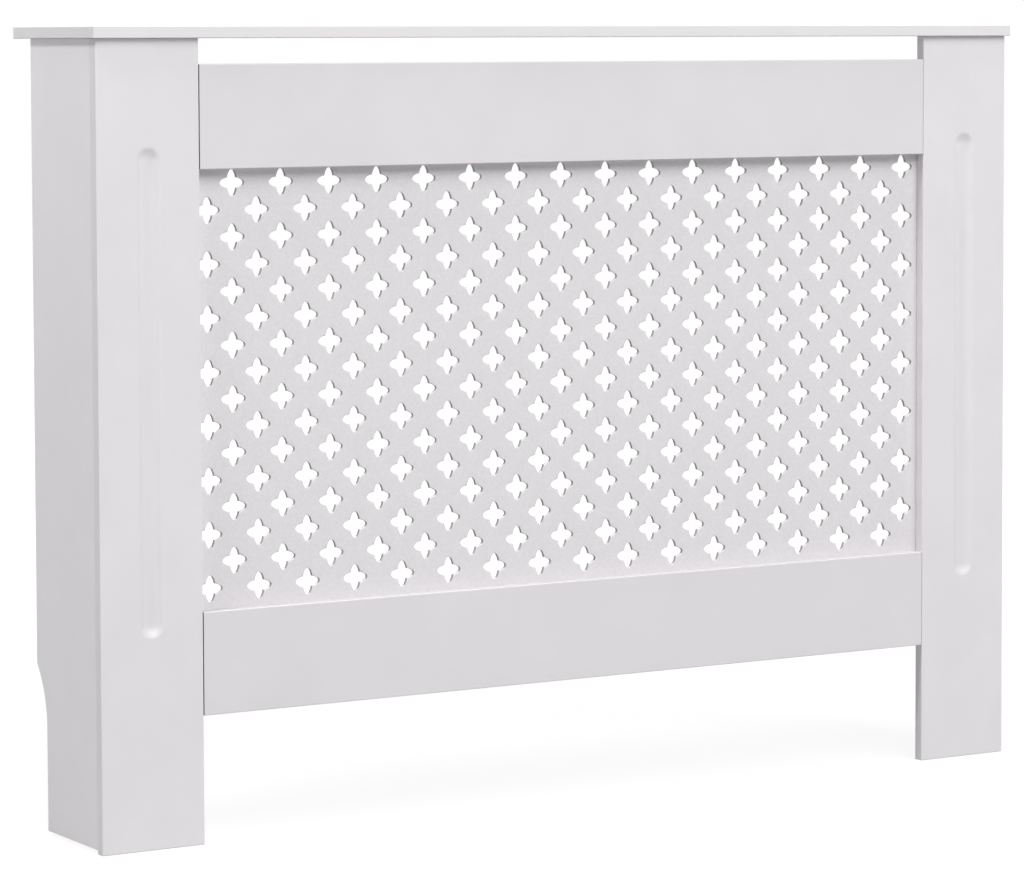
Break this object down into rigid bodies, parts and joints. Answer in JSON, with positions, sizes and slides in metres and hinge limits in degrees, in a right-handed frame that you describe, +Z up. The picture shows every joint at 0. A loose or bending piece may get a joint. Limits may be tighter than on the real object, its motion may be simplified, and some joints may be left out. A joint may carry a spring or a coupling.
{
  "type": "radiator cover",
  "caption": "White painted radiator cover with fluted stiles, a four-petal lattice front, an open air slot under its shelf top and an open foot.",
  "frame": {"origin": "bottom centre of the cover's bounding box, on the floor, half way between the front edge of the top panel and the wall", "axes": "+X to the right along the cover's width as seen from the room, +Y back towards the wall, +Z up"},
  "size_m": [1.12, 0.19, 0.815],
  "materials": {
    "painted_boards": "satin white paint on medium-density fibreboard",
    "painted_lattice": "satin white paint on thin fibreboard",
    "bare_pine": "planed softwood, unpainted",
    "beech": "plain beech dowel",
    "zinc_steel": "bright zinc plate"
  },
  "bodies": {
    "root": {"top_panel": "painted_boards", "left_side_panel": "painted_boards", "right_side_panel": "painted_boards", "left_stile": "painted_boards", "right_stile": "painted_boards", "upper_rail": "painted_boards", "lower_rail": "painted_boards", "lattice_panel": "painted_lattice", "left_corner_batten": "bare_pine", "right_corner_batten": "bare_pine", "left_top_block": "bare_pine", "right_top_block": "bare_pine", "left_bracket_block": "bare_pine", "right_bracket_block": "bare_pine", "rail_dowels": "beech", "left_wall_bracket": "zinc_steel", "right_wall_bracket": "zinc_steel"}
  },
  "joints": []
}
